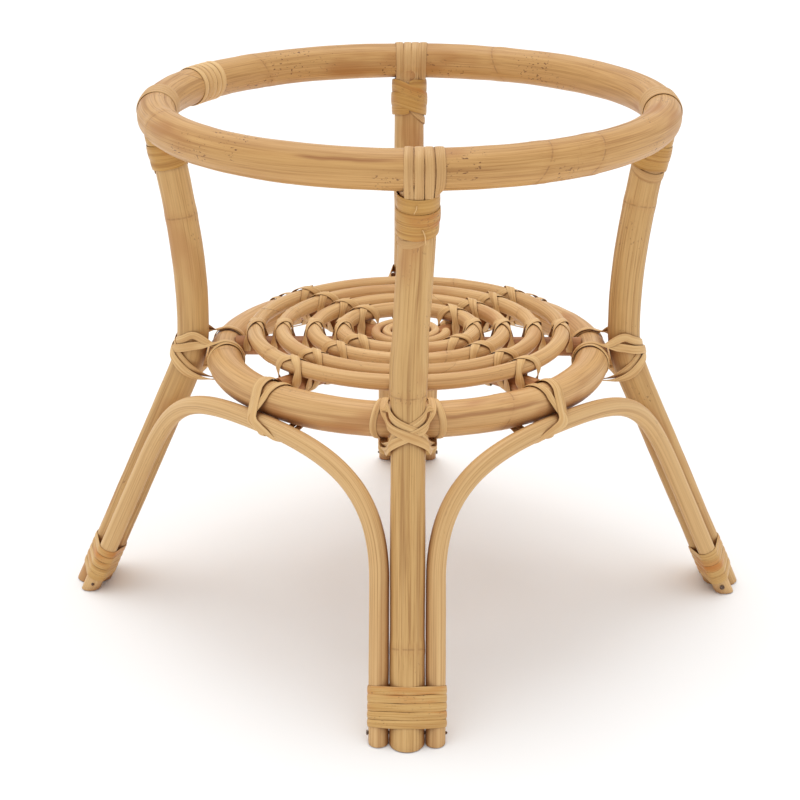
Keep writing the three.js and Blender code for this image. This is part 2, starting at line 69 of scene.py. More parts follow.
# Split cane is thinner here than in the CAD, and closer to what it lies on.
THICK = 0.44  # the domed middle of a strip is 1.44 times as thick
SEAT = 0.36  # middle of a strip to the pole under it
LAYER = 0.62  # middle of a strip to the middle of the one it lies on

LEGS = ("right", "back", "left", "front")
BRACES = ("back_right", "back_left", "front_left", "front_right")


# ---- Lines and noise ----------------------------------------------------------------------------

def unit(v):
    return v / np.maximum(np.linalg.norm(v, axis=-1, keepdims=True), 1e-9)


def dot(a, b):
    return (a * b).sum(-1, keepdims=True)


def turned(points, angle):
    c, s = math.cos(angle), math.sin(angle)
    return np.asarray(points, float) @ np.array([[c, s, 0], [-s, c, 0], [0, 0, 1]])


def bezier(a, b, c, d, count=60):
    t = np.linspace(0, 1, count)[:, None]
    a, b, c, d = (np.array(p, float) for p in (a, b, c, d))
    return (1 - t) ** 3 * a + 3 * (1 - t) ** 2 * t * b + 3 * (1 - t) * t * t * c + t**3 * d


def run_of(points):
    return np.r_[0, np.cumsum(np.linalg.norm(np.diff(points, axis=0), axis=1))]


def resample(points, step):
    run = run_of(points)
    at = np.linspace(0, run[-1], max(int(round(run[-1] / step)), 2) + 1)
    return np.stack([np.interp(at, run, points[:, k]) for k in range(points.shape[1])], 1)


def smooth(keys, step):
    """A dense curve through rows of numbers whose first three are a place."""
    keys = np.asarray(keys, float)
    gaps = np.maximum(np.linalg.norm(np.diff(keys[:, :3], axis=0), axis=1), 1e-6)
    rate = np.diff(keys, axis=0) / gaps[:, None]
    slope = np.empty_like(keys)
    slope[0], slope[-1] = rate[0], rate[-1]
    g0, g1 = gaps[:-1, None], gaps[1:, None]
    slope[1:-1] = (rate[:-1] * g1 + rate[1:] * g0) / (g0 + g1)
    out = []
    for i, gap in enumerate(gaps):
        count = max(int(round(gap / step)), 1)
        t = np.arange(count)[:, None] / count
        a, b, m0, m1 = keys[i], keys[i + 1], slope[i] * gap, slope[i + 1] * gap
        out.append((2 * t**3 - 3 * t**2 + 1) * a + (t**3 - 2 * t**2 + t) * m0
                   + (3 * t**2 - 2 * t**3) * b + (t**3 - t**2) * m1)
    out.append(keys[-1:])
    return np.vstack(out)


DRIFT_WAVES, DRIFT_TOTAL = 4, 1.6


def drift(at, seed, length):
    """Smooth noise along a line, about -1 to 1, whose longest wave is length."""
    rng = np.random.default_rng(seed)
    total = np.zeros_like(at, dtype=float)
    for k in range(1, DRIFT_WAVES + 1):
        total += np.sin(TAU * at * k / length * rng.uniform(0.8, 1.2) + rng.uniform(0, TAU)) / k
    return total / DRIFT_TOTAL


def smoothstep(x):
    x = np.clip(x, 0, 1)
    return x * x * (3 - 2 * x)


# ---- Meshes -------------------------------------------------------------------------------------

SHARP = math.radians(48)  # edges sharper than this aren't shaded smooth
NO_KNOT = 99.0  # far from any knot
GRAIN_APART = 400  # from one pole's grain to the next one's, which keeps them from looking alike


def shell(name, rows, grain, knot=None):
    """A closed mesh over rows of points, its first and last row closed by a fan. grain is the place of
    each point in the straight, unbent pole or strip, and knot its distance along to the next knot."""
    rows, grain = np.asarray(rows, float), np.asarray(grain, float)
    n, m = rows.shape[:2]
    points = np.vstack([rows.reshape(-1, 3), rows[0].mean(0), rows[-1].mean(0)]) * MM
    lay = np.vstack([grain.reshape(-1, 3), grain[0].mean(0), grain[-1].mean(0)]) * MM
    i, j = np.meshgrid(np.arange(n - 1), np.arange(m), indexing="ij")
    k = (j + 1) % m
    quads = np.stack([i * m + j, i * m + k, (i + 1) * m + k, (i + 1) * m + j], -1).reshape(-1, 4)
    j = np.arange(m)
    k = (j + 1) % m
    first = np.stack([np.full(m, n * m), k, j], 1)
    last = np.stack([np.full(m, n * m + 1), (n - 1) * m + j, (n - 1) * m + k], 1)
    a, b, c, d = (points[quads[:, q]] - points.mean(0) for q in range(4))
    volume = (dot(a, np.cross(b, c)) + dot(a, np.cross(c, d))).sum()
    for fan in (first, last):
        a, b, c = (points[fan[:, q]] - points.mean(0) for q in range(3))
        volume += dot(a, np.cross(b, c)).sum()
    if volume < 0:
        quads, first, last = quads[:, ::-1], first[:, ::-1], last[:, ::-1]
    mesh = bpy.data.meshes.new(name)
    mesh.from_pydata(points.tolist(), [], quads.tolist() + first.tolist() + last.tolist())
    mesh.polygons.foreach_set("use_smooth", [True] * len(mesh.polygons))
    mesh.set_sharp_from_angle(angle=SHARP)
    layer = mesh.attributes.new("grain", "FLOAT_VECTOR", "POINT")
    layer.data.foreach_set("vector", lay.astype(np.float32).ravel())
    knot = np.full((n, m), NO_KNOT) if knot is None else np.asarray(knot)
    flat = np.r_[knot.ravel(), knot[0].mean(), knot[-1].mean()]
    mark = mesh.attributes.new("knot", "FLOAT", "POINT")
    mark.data.foreach_set("value", flat.astype(np.float32))
    obj = bpy.data.objects.new(name, mesh)
    bpy.context.scene.collection.objects.link(obj)
    return obj


def add(obj, material, slot, *nodes):
    obj.data.materials.append(material)
    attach(obj, "root")
    if nodes:
        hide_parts(*nodes)
    return obj


# ---- Round poles ----------------------------------------------------------------------------------

CAP = (0.8, 0.45)  # rows of an end face, as shares of the radius
ROW_STEP = 2.2  # run between the rows of a pole
END_REACH = 24.0  # run over which a shaped end moves the rows behind it
RAGGED = 0.12  # how rough a sawn foot is
COPE_REACH, COPE_HALVINGS = 30.0, 40  # how far back a coped end is looked for, and how finely
SKIN_WAVE = 0.010  # how oval and how uneven a pole is, as a share of its radius
OVAL_RUN, LUMP_RUN = 260, 70  # longest waves of both
KNOT_RISE, KNOT_WIDE = 0.28, 3.2  # the swelling at a knot
KNOT_DIP, KNOT_NARROW = 0.16, 0.7  # the groove in its middle


def knot_distance(along, knots):
    """Signed distance along the pole to the nearest knot."""
    if len(knots) == 0:
        return np.full_like(along, NO_KNOT)
    apart = along[..., None] - np.asarray(knots, float)
    nearest = np.abs(apart).argmin(-1)
    return np.take_along_axis(apart, nearest[..., None], -1)[..., 0]


def skin(radius, along, angle, seed, knots=()):
    """The radius of a natural pole at each place: a little oval, uneven and thicker at its knots."""
    oval = SKIN_WAVE * np.cos(2 * angle + drift(along, seed, OVAL_RUN) * 2) * radius
    lumps = SKIN_WAVE * radius * drift(along + 3 * np.cos(angle + seed), seed + 1, LUMP_RUN)
    apart = knot_distance(along, knots)
    rise = KNOT_RISE * np.exp(-(apart / KNOT_WIDE) ** 2)
    dip = KNOT_DIP * np.exp(-((apart + 0.2) / KNOT_NARROW) ** 2)
    return radius + oval + lumps + (rise - dip)


def section_frames(path, up):
    tangent = unit(np.gradient(path, axis=0))
    sides = np.empty_like(path)
    side = np.array(up, float)
    for i, t in enumerate(tangent):
        side = unit(side - dot(side, t) * t)
        sides[i] = side
    return tangent, sides, np.cross(tangent, sides)


def pole(name, path, radius, up, seed, sides, step=ROW_STEP, knots=(), start=None, end=None, clamp=None):
    """A pole along a path. start and end give how far each point of the end face, at an angle and a
    share of the radius, moves along the pole from its end row."""
    path = resample(np.asarray(path, float), step)
    run = run_of(path)
    tangent, u, v = section_frames(path, up)
    angle = TAU * np.arange(sides) / sides
    body, grain, marks = [], [], []

    def row(i, share, shift):
        r = share * skin(radius, np.full(sides, run[i]), angle, seed, knots)
        at = path[i] + np.outer(r * np.cos(angle), u[i]) + np.outer(r * np.sin(angle), v[i])
        body.append(at + shift[:, None] * tangent[i])
        along = run[i] + shift
        grain.append(np.stack([r * np.cos(angle), r * np.sin(angle), along + GRAIN_APART * seed], 1))
        marks.append(knot_distance(along, knots))

    def shift_at(face, share):
        return face(angle, share) if face else np.zeros(sides)

    for share in CAP[::-1]:
        row(0, share, shift_at(start, share))
    for i in range(len(path)):
        near = smoothstep(1 - run[i] / END_REACH) * shift_at(start, 1)
        far = smoothstep(1 - (run[-1] - run[i]) / END_REACH) * shift_at(end, 1)
        row(i, 1, near + far)
    for share in CAP:
        row(len(path) - 1, share, shift_at(end, share))
    body = np.array(body)
    if clamp:
        body = clamp(body)
    return shell(name, body, grain, marks)


def floor_face(path, radius, up, at_end):
    """How far each point of an end face slides along the pole to lie on the floor."""
    path = resample(np.asarray(path, float), ROW_STEP)
    tangent, u, v = section_frames(path, up)
    i = -1 if at_end else 0

    def face(angle, share):
        ragged = RAGGED * (1 + np.sin(7 * angle) * np.sin(11 * angle + 1))
        z = path[i][2] + share * radius * (np.cos(angle) * u[i][2] + np.sin(angle) * v[i][2])
        return (ragged * share - z) / tangent[i][2]
    return face


def ring_cope(centre, axis, u, v, radius, ring_r, ring_z, tube):
    """How far each point of an end face moves along the axis to stop short of a level ring."""
    def face(angle, share):
        base = centre + share * radius * (np.outer(np.cos(angle), u) + np.outer(np.sin(angle), v))
        low, high = np.full(len(angle), -COPE_REACH), np.zeros(len(angle))
        for _ in range(COPE_HALVINGS):
            middle = (low + high) / 2
            p = base + middle[:, None] * axis
            apart = np.hypot(np.hypot(p[:, 0], p[:, 1]) - ring_r, p[:, 2] - ring_z)
            outside = apart > tube + GAP
            low, high = np.where(outside, middle, low), np.where(outside, high, middle)
        return low
    return face


JOINT_GAP = 0.18  # half the gap in a ring's joint
JOINT_FADE = 7  # run over which the slant of the joint dies out, in radii of the pole


def ring(name, radius, z, tube, joint, seed, sides, step=ROW_STEP, knots=(), wander=0.0):
    """A pole bent to a level ring whose two ends meet in a slanted joint. knots are azimuths, and
    wander is how far the ring leaves its level between them."""
    arc = TAU * radius
    count = int(arc / step)
    along = np.linspace(0, arc, count)
    angle = TAU * np.arange(sides) / sides
    fade = JOINT_FADE * tube
    places = [((k - joint) % TAU) * radius for k in knots]
    body, grain, marks = [], [], []

    def row(a, share, gap):
        r = share * skin(tube, np.full(sides, a), angle, seed, places)
        slant = SCARF * r * np.sin(angle)
        pull = max(1 - a / fade, 0) + max(1 - (arc - a) / fade, 0)
        s = a + slant * pull + gap
        azimuth = joint + s / radius
        lift = wander * drift(np.array([a]), seed + 5, arc / 1.3)[0] * math.sin(math.pi * a / arc)
        rr = radius + r * np.cos(angle)
        body.append(np.stack([rr * np.cos(azimuth), rr * np.sin(azimuth), z + lift + r * np.sin(angle)], 1))
        grain.append(np.stack([r * np.cos(angle), r * np.sin(angle), s + GRAIN_APART * seed], 1))
        marks.append(knot_distance(s - 0.5 * r * np.sin(angle), places))

    for share in CAP[::-1]:
        row(0, share, JOINT_GAP)
    for a in along:
        row(a, 1, JOINT_GAP * (a == 0) - JOINT_GAP * (a == arc))
    for share in CAP:
        row(arc, share, -JOINT_GAP)
    return shell(name, np.array(body), grain, marks)


def leg_line(z):
    return FOOT_R - SPLAY * z


LEG_RISE = unit(np.array([-SPLAY, 0, 1.0]))


def leg_path(bottom=0.0):
    knee = np.array([leg_line(KNEE_Z), 0, KNEE_Z])
    into = [WAIST_R, 0, WAIST_Z - WAIST_PULL]
    waist = [WAIST_R, 0, WAIST_Z]
    top = np.array([TOP_R, 0, TOP_Z])
    crown = np.array([CROWN_LEAN, 0, 1]) * CROWN_PULL
    line = np.linspace([leg_line(bottom), 0, bottom], knee, 40)
    return np.vstack([
        line, bezier(knee, knee + LEG_RISE * KNEE_PULL, into, waist)[1:],
        bezier(waist, [WAIST_R, 0, WAIST_Z + CROWN_PULL], top - crown, top)[1:],
    ])


LEG_LINE = resample(leg_path(-12), 0.5)  # from below the floor, where the first turns need it
LEG_AXIS = unit(np.gradient(LEG_LINE, axis=0))


def leg_at(z):
    centre = np.array([np.interp(z, LEG_LINE[:, 2], LEG_LINE[:, k]) for k in range(3)])
    axis = unit(np.array([np.interp(z, LEG_LINE[:, 2], LEG_AXIS[:, k]) for k in range(3)]))
    return centre, axis


def brace_path():
    off = BRACE_TOUCH * np.array([math.cos(BRACE_TOP_ANGLE), math.sin(BRACE_TOP_ANGLE)])
    half = (LOW_R + off[0]) * math.sqrt(0.5)
    pull = BRACE_CROWN * math.sqrt(0.5)
    top_z = LOW_Z + off[1]
    foot = np.array([FOOT_R, BRACE_SIDE, 0])
    leaves = np.array([leg_line(BRACE_LEAVES_Z), BRACE_SIDE, BRACE_LEAVES_Z])
    rise = leaves + LEG_RISE * BRACE_RISE
    side = np.vstack([
        np.linspace(foot, leaves, 30),
        bezier(leaves, rise, [half + pull, half - pull, top_z], [half, half, top_z], count=90)[1:],
    ])
    return np.vstack([side, side[::-1][1:, [1, 0, 2]]])


# ---- Flat strips of cane --------------------------------------------------------------------------

EDGE = ((-0.5, -0.1), (-0.47, 0.3), (-0.36, 0.62), (-0.18, 0.86), (0, 0.94), (0.18, 0.86),
        (0.36, 0.62), (0.47, 0.3), (0.5, -0.1), (0.44, -0.5), (0, -0.5), (-0.44, -0.5))
CURVE_STEP, STRIP_STEP = 0.6, 1.3  # run between the points of the curve and between the rows
TIP, TAPER = 0.75, 3.0  # share of the width at a strip's ends, and the run over which it grows
WIDTH_VARIES, WIDTH_RUN = 0.06, 45  # share by which the width varies, and its longest wave
SWAY, SWAY_RUN = 0.04, 60  # share of the width by which a strip sways, and its longest wave


def strip(name, keys, width, seed, step=STRIP_STEP, thick=THICK, taper=TAPER):
    """A flat strip of cane through keys of place, outward direction and, where a key has a seventh
    number, share of the width."""
    keys = np.asarray(keys, float)
    if keys.shape[1] == 6:
        keys = np.c_[keys, np.ones(len(keys))]
    route = resample(smooth(keys, CURVE_STEP), step)
    at, out = route[:, :3], route[:, 3:6]
    run = run_of(at)
    tangent = unit(np.gradient(at, axis=0))
    out = unit(out - dot(out, tangent) * tangent)
    across = np.cross(tangent, out)
    wide = width * route[:, 6] * (1 + WIDTH_VARIES * drift(run, seed, WIDTH_RUN))
    ends = np.minimum(smoothstep(run / taper), smoothstep((run[-1] - run) / taper))
    wide = wide * (TIP + (1 - TIP) * ends)
    sway = SWAY * width * drift(run, seed + 9, SWAY_RUN)
    section = np.array(EDGE)
    rows = (at[:, None, :] + (section[:, 0] * wide[:, None] + sway[:, None])[..., None] * across[:, None, :]
            + (section[:, 1] * thick)[None, :, None] * out[:, None, :])
    grain = np.empty(rows.shape)
    grain[..., 0] = section[:, 0] * width
    grain[..., 1] = section[:, 1] * thick + 7 * seed
    grain[..., 2] = run[:, None] + 300 * seed
    return shell(name, rows, grain)


def ring_key(radius, z, reach, turn, side, azimuth=0.0):
    """Place and outward direction on the skin of a level ring's section."""
    out = np.array([math.cos(turn), 0, math.sin(turn)])
    here = np.array([radius, 0, z]) + reach * out
    angle = azimuth + side / radius
    return np.r_[turned(here, angle), turned(out, angle)]


def leg_key(z, reach, turn):
    """The same on the skin of the leg at azimuth 0, where turn 0 faces outwards."""
    centre, axis = leg_at(z)
    sideways = np.array([0, 1.0, 0])
    outwards = unit(np.cross(sideways, axis))
    out = outwards * math.cos(turn) + sideways * math.sin(turn)
    return np.r_[centre + reach * out, out]


def hull(circles, seat, count):
    """The line drawn tight round some circles: its points and its outward directions."""
    fine = 4 * count
    angle = TAU * np.arange(fine) / fine
    normal = np.stack([np.cos(angle), np.sin(angle)], 1)
    reach = np.stack([x * normal[:, 0] + y * normal[:, 1] + r for x, y, r in circles], 1)
    best = reach.argmax(1)
    picked = np.array(circles, float)[best]
    points = picked[:, :2] + (picked[:, 2:] + seat) * normal
    closed = np.vstack([np.c_[points, normal], np.c_[points, normal][:1]])
    run = run_of(closed[:, :2])
    at = np.linspace(0, run[-1], count, endpoint=False)
    return np.stack([np.interp(at, run, closed[:, k]) for k in range(4)], 1)


def turned_keys(keys, azimuth):
    keys = np.asarray(keys, float)
    return np.hstack([turned(keys[:, :3], azimuth), turned(keys[:, 3:6], azimuth), keys[:, 6:]])


# ---- Materials ------------------------------------------------------------------------------------

def srgb(r, g, b):
    out = []
    for c in (r, g, b):
        c /= 255
        out.append(c / 12.92 if c <= 0.04045 else ((c + 0.055) / 1.055) ** 2.4)
    return (*out, 1.0)


class Nodes:
    """Builds one material's nodes. A socket or a plain value may feed any input."""

    def __init__(self, name):
        self.material = bpy.data.materials.new(name)
        self.material.use_nodes = True
        self.tree = self.material.node_tree
        self.shader = self.tree.nodes["Principled BSDF"]

    def make(self, kind, settings=None, **inputs):
        made = self.tree.nodes.new(kind)
        for key, value in (settings or {}).items():
            setattr(made, key, value)
        for key, value in inputs.items():
            self.feed(made.inputs[key.replace("_", " ")], value)
        return made

    def feed(self, socket, value):
        if isinstance(value, bpy.types.NodeSocket):
            self.tree.links.new(value, socket)
        else:
            socket.default_value = value

    def noise(self, place, stretch, detail=3.0, rough=0.55):
        spot = self.make("ShaderNodeMapping", Vector=place, Scale=stretch)
        return self.make("ShaderNodeTexNoise", Vector=spot.outputs[0], Scale=1.0, Detail=detail,
                         Roughness=rough).outputs["Fac"]

    def fit(self, value, low, high, to_low=0.0, to_high=1.0):
        made = self.make("ShaderNodeMapRange", {"interpolation_type": "SMOOTHSTEP"}, Value=value)
        for i, v in enumerate((low, high, to_low, to_high)):
            made.inputs[i + 1].default_value = v
        return made.outputs[0]

    def math(self, how, a, b=0.0):
        made = self.make("ShaderNodeMath", {"operation": how})
        self.feed(made.inputs[0], a)
        self.feed(made.inputs[1], b)
        return made.outputs[0]

    def mix(self, share, a, b):
        made = self.make("ShaderNodeMix", {"data_type": "RGBA"})
        self.feed(made.inputs[0], share)
        self.feed(made.inputs[6], a)
        self.feed(made.inputs[7], b)
        return made.outputs[2]


GAP_SHADE_BROWN, NEAR_GAP_SHADE = srgb(146, 88, 46), srgb(150, 96, 52)  # painted shade: brown for the shade in a gap between pieces, and lighter shade for the skin beside it
SPECK, STAIN, KNOT_LINE = srgb(104, 60, 32), srgb(142, 84, 42), srgb(110, 66, 36)


def cane_material(name, light, mid, dark, red, fibre=0.5, streak=0.5, patch=0.5, speck=0.5, rough=0.5,
                  grain=(1500, 22), bump=0.35, gap_shade=0.8, reach=0.009, scar=0.3, stain=None):
    """Rattan or cane: fine fibres and broader streaks along it, redder patches, dark specks, scars at
    its knots, and painted shade: brown put where ambient occlusion finds gaps and hollows between
    pieces, looking as far as reach. stain is one long reddish streak: how high
    it lies on the section, and where it starts and ends along the pole."""
    n = Nodes(name)
    place = n.make("ShaderNodeAttribute", {"attribute_name": "grain"}).outputs["Vector"]
    knot = n.make("ShaderNodeAttribute", {"attribute_name": "knot"}).outputs["Fac"]
    across, along = grain
    fine = n.noise(place, (across, across, along), 4.0, 0.6)
    broad = n.noise(place, (across / 5, across / 5, along / 3), 3.0)
    cloud = n.noise(place, (across / 26, across / 26, along * 0.9), 2.0)
    tone = n.noise(place, (across / 60, across / 60, along / 4), 1.0)
    colour = n.mix(n.fit(fine, 0.34, 0.68), mid, light)
    colour = n.mix(n.math("MULTIPLY", n.fit(broad, 0.48, 0.74), streak), colour, dark)
    colour = n.mix(n.math("MULTIPLY", n.fit(fine, 0.46, 0.30), fibre), colour, dark)
    colour = n.mix(n.math("MULTIPLY", n.fit(cloud, 0.50, 0.72), patch), colour, red)
    colour = n.mix(n.math("MULTIPLY", n.fit(tone, 0.40, 0.70), 0.35), colour, light)
    dots = n.noise(place, (across * 0.55, across * 0.55, along * 22), 2.0, 0.5)
    rare = n.noise(place, (across / 40, across / 40, along * 1.6), 1.0)
    dots = n.math("MULTIPLY", n.fit(dots, 0.62, 0.70), n.fit(rare, 0.55, 0.64))
    colour = n.mix(n.math("MULTIPLY", dots, speck), colour, SPECK)
    if stain:
        height, first, last = (v * MM for v in stain)
        part = n.make("ShaderNodeSeparateXYZ", Vector=place).outputs
        wave = n.fit(n.noise(place, (10, 10, 30), 2.0), 0.2, 0.8, -0.0009, 0.0009)
        off = n.math("ABSOLUTE", n.math("SUBTRACT", part["Y"], n.math("ADD", wave, height)))
        share = n.math("MULTIPLY", n.fit(off, 0.0015, 0.0002), n.fit(part["X"], 0.0, 0.001))
        share = n.math("MULTIPLY", share, n.fit(part["Z"], first, first + 0.012))
        share = n.math("MULTIPLY", share, n.fit(part["Z"], last, last - 0.02))
        colour = n.mix(n.math("MULTIPLY", share, 0.6), colour, STAIN)
    apart = n.math("ABSOLUTE", knot, 0.0)
    worn = n.fit(n.noise(place, (across / 3, across / 3, along * 4), 2.0), 0.35, 0.6)
    line = n.math("MULTIPLY", n.fit(apart, 0.75, 0.15), worn)
    colour = n.mix(n.math("MULTIPLY", n.fit(apart, 4.5, 0.8), 0.4 * scar), colour, red)
    colour = n.mix(n.math("MULTIPLY", line, scar), colour, KNOT_LINE)
    # Painted shade: where ambient occlusion finds nearby surfaces, the colour is darkened to brown in gaps
    # between pieces, and a little on the skin beside them.
    hidden = n.make("ShaderNodeAmbientOcclusion", {"samples": 8}, Distance=reach).outputs["AO"]
    colour = n.mix(n.math("MULTIPLY", n.fit(hidden, 0.70, 0.20), gap_shade), colour, GAP_SHADE_BROWN)
    colour = n.mix(n.fit(hidden, 0.92, 0.50, 0.0, 0.5 * gap_shade), colour, NEAR_GAP_SHADE)
    n.feed(n.shader.inputs["Base Color"], colour)
    n.feed(n.shader.inputs["Roughness"], n.fit(broad, 0.3, 0.75, rough - 0.07, rough + 0.12))
    n.shader.inputs["Specular IOR Level"].default_value = 0.42
    height = n.math("ADD", n.math("MULTIPLY", fine, 0.6), n.math("MULTIPLY", broad, 0.9))
    height = n.math("SUBTRACT", height, n.math("MULTIPLY", line, 0.8))
    made = n.make("ShaderNodeBump", Strength=bump, Distance=0.0004, Height=height)
    n.feed(n.shader.inputs["Normal"], made.outputs[0])
    return n.material


pole_skin = cane_material(
    "rattan_pole", srgb(209, 163, 101), srgb(188, 139, 79), srgb(146, 97, 48), srgb(172, 114, 54),
    fibre=0.45, streak=0.55, patch=0.75, speck=0.9, rough=0.46, scar=0.35, stain=(6.2, 630, 690))
leg_skin = cane_material(
    "rattan_leg", srgb(214, 173, 113), srgb(195, 151, 91), srgb(146, 97, 50), srgb(174, 114, 58),
    fibre=0.6, streak=0.65, patch=0.75, speck=0.4, rough=0.50, grain=(1150, 18), bump=0.5)
lower_skin = cane_material(
    "rattan_lower_ring", srgb(222, 179, 122), srgb(204, 158, 101), srgb(162, 112, 64), srgb(178, 116, 64),
    fibre=0.3, streak=0.5, patch=0.70, speck=0.3, rough=0.47, scar=0.3, stain=(4.6, 1284, 1354))
brace_skin = cane_material(
    "rattan_brace", srgb(224, 185, 129), srgb(207, 164, 107), srgb(160, 111, 62), srgb(182, 128, 74),
    fibre=0.5, streak=0.6, patch=0.35, speck=0.2, rough=0.5, grain=(1500, 9), bump=0.6)
spoke_skin = cane_material(
    "rattan_spoke", srgb(196, 138, 84), srgb(172, 112, 62), srgb(126, 72, 36), srgb(150, 82, 40),
    fibre=0.4, streak=0.6, patch=0.6, speck=0.2, rough=0.52)
shelf_skin = cane_material(
    "shelf_cane", srgb(226, 186, 129), srgb(209, 164, 106), srgb(166, 116, 66), srgb(186, 127, 73),
    fibre=0.4, streak=0.55, patch=0.65, speck=0.3, rough=0.48, grain=(1600, 16))
strip_skin = cane_material(
    "cane_strip", srgb(230, 192, 134), srgb(213, 168, 107), srgb(170, 118, 66), srgb(194, 140, 78),
    fibre=0.4, streak=0.5, patch=0.45, speck=0.25, rough=0.5, grain=(2600, 30), bump=0.5,
    gap_shade=0.65, reach=0.0035)
strap_skin = cane_material(
    "cane_strap", srgb(214, 173, 116), srgb(193, 147, 90), srgb(150, 101, 54), srgb(176, 124, 68),
    fibre=0.45, streak=0.6, patch=0.45, speck=0.3, rough=0.5, grain=(2600, 24), bump=0.6,
    gap_shade=0.65, reach=0.0035)
foot_skin = cane_material(
    "cane_foot", srgb(216, 176, 112), srgb(196, 148, 80), srgb(158, 104, 48), srgb(194, 120, 46),
    fibre=0.4, streak=0.5, patch=0.9, speck=0.6, rough=0.44, grain=(2400, 30), bump=0.5,
    gap_shade=0.65, reach=0.0035)
band_skin = cane_material(
    "cane_band", srgb(204, 158, 86), srgb(186, 135, 62), srgb(146, 92, 34), srgb(180, 104, 30),
    fibre=0.35, streak=0.6, patch=0.95, speck=0.6, rough=0.40, grain=(2200, 26), bump=0.45,
    gap_shade=0.65, reach=0.0035)


def steel_material():
    n = Nodes("nail_steel")
    place = n.make("ShaderNodeTexCoord").outputs["Object"]
    rust = n.fit(n.noise(place, (900, 900, 900), 4.0), 0.42, 0.62)
    n.feed(n.shader.inputs["Base Color"], n.mix(rust, srgb(118, 104, 92), srgb(88, 56, 36)))
    n.feed(n.shader.inputs["Roughness"], n.fit(rust, 0.0, 1.0, 0.38, 0.75))
    n.shader.inputs["Metallic"].default_value = 0.7
    return n.material


steel = steel_material()

# ---- Rings, legs, braces, shelf --------------------------------------------------------------------

RIGHT, ACROSS, UP = np.eye(3)


def degrees(*values):
    return [math.radians(v) for v in values]


TOP_JOINT, LOW_JOINT = 2.65, 0.26  # azimuth of each ring's joint
HOOP_KNOTS = ((70, -150), (20, 160), (-70,), (140,))  # degrees
add(ring("top_pole", TOP_R, TOP_Z, TOP_TUBE, TOP_JOINT, seed=1, sides=48,
         knots=degrees(-63, -50, 66, 131, -158)), pole_skin, "rattan_pole", "top_ring")
add(ring("lower_pole", LOW_R, LOW_Z, LOW_TUBE, LOW_JOINT, seed=2, sides=44, step=2.0,
         knots=degrees(-171, -62, 100)), lower_skin, "rattan_pole", "lower_ring")
for i, (radius, joint) in enumerate(SHELF_RINGS):
    made = ring(f"shelf_hoop_{i + 1}", radius, SHELF_Z, CANE, joint, seed=11 + i, sides=26, step=1.6,
                knots=degrees(*HOOP_KNOTS[i]), wander=0.35)
    add(made, shelf_skin, "shelf_cane", f"shelf_ring_{i + 1}")

# The front leg leans to the right as it rises, and what is bound to its top goes with it. It is
# thicker at its knot above the waist.
LEAN, LEAN_FROM, LEAN_TO = 4.3, 165, 275
SWELL, SWELL_Z, SWELL_HIGH, SWELL_FADE = 0.10, 181, 13, 40
SWELL_ABOVE = 0.4  # share of the swelling that stays above it


def lean_over(obj, swell=0.0):
    """Shift what is high up on the front leg to the right. swell is the share by which it thickens."""
    z = np.array([v.co.z for v in obj.data.vertices]) / MM
    grown = swell * np.exp(-(((z - SWELL_Z) / SWELL_HIGH) ** 2))
    grown = grown + SWELL_ABOVE * swell * smoothstep((z - SWELL_Z) / SWELL_FADE)
    over = LEAN * smoothstep((z - LEAN_FROM) / (LEAN_TO - LEAN_FROM))
    for v, more, shift in zip(obj.data.vertices, grown, over):
        v.co.x += v.co.x * more + shift * MM


LEG_KNOTS = ((236,), (208,), (228,), (167.5, 44))  # heights of each leg's knots
for i, place in enumerate(LEGS):
    path = leg_path()
    run = run_of(path)
    spots = [np.interp(z, path[:, 2], run) for z in LEG_KNOTS[i]]
    centre, axis = leg_at(TOP_Z)
    _, u, v = section_frames(resample(path, ROW_STEP), RIGHT)
    cope = ring_cope(centre, axis, u[-1], v[-1], LEG_TUBE, TOP_R, TOP_Z, TOP_TUBE)
    made = pole(f"leg_pole_{place}", path, LEG_TUBE, RIGHT, seed=21 + i, sides=44, knots=spots,
                start=floor_face(path, LEG_TUBE, RIGHT, False), end=cope)
    made.data.transform(Matrix.Rotation(i * QUARTER, 4, "Z"))
    if place == "front":
        lean_over(made, SWELL)
    add(made, leg_skin, "rattan_pole", f"leg_{place}")

for i, place in enumerate(BRACES):
    path = brace_path()
    made = pole(f"brace_arch_{place}", path, BRACE_TUBE, ACROSS, seed=31 + i, sides=30, step=2.0,
                start=floor_face(path, BRACE_TUBE, ACROSS, False),
                end=floor_face(path, BRACE_TUBE, ACROSS, True))
    made.data.transform(Matrix.Rotation(i * QUARTER, 4, "Z"))
    add(made, brace_skin, "rattan_brace", f"brace_{place}")


def spoke(name, seed, start_x, lap=0):
    """A pole out to the lower ring. With lap 1 or -1 it runs right across and is cut away to half in
    the middle, from above or from below."""
    ends = np.array([[start_x, 0, SPOKE_Z], [SPOKE_REACH, 0, SPOKE_Z]])
    half = SPOKE_TUBE + GAP

    def notch(rows):
        inside = np.abs(rows[..., 0]) < half
        level = SPOKE_Z - lap * GAP / 2
        z = rows[..., 2]
        rows[..., 2] = np.where(inside, np.minimum(z, level) if lap > 0 else np.maximum(z, level), z)
        return rows

    near, far = (ring_cope(ends[k], (ends[k] - ends[1 - k]) / np.ptp(ends[:, 0]), ACROSS, UP,
                           SPOKE_TUBE, LOW_R, LOW_Z, LOW_TUBE) for k in (0, 1))

    def near_face(angle, share):
        return -near(angle, share)
    return pole(name, ends, SPOKE_TUBE, ACROSS, seed, sides=28, step=1.5,
                start=near_face if lap else None, end=far, clamp=notch if lap else None)


for i, lap in enumerate((1, -1)):
    made = spoke(f"spoke_long_{i + 1}", 41 + i, -SPOKE_REACH, lap)
    made.data.transform(Matrix.Rotation(i * QUARTER, 4, "Z"))
    add(made, spoke_skin, "rattan_spoke", f"spoke_cross_{i + 1}")
for i, place in enumerate(BRACES):
    made = spoke(f"spoke_short_{place}", 44 + i, SPOKE_START)
    made.data.transform(Matrix.Rotation((i + 0.5) * QUARTER, 4, "Z"))
    add(made, spoke_skin, "rattan_spoke", f"spoke_{place}")

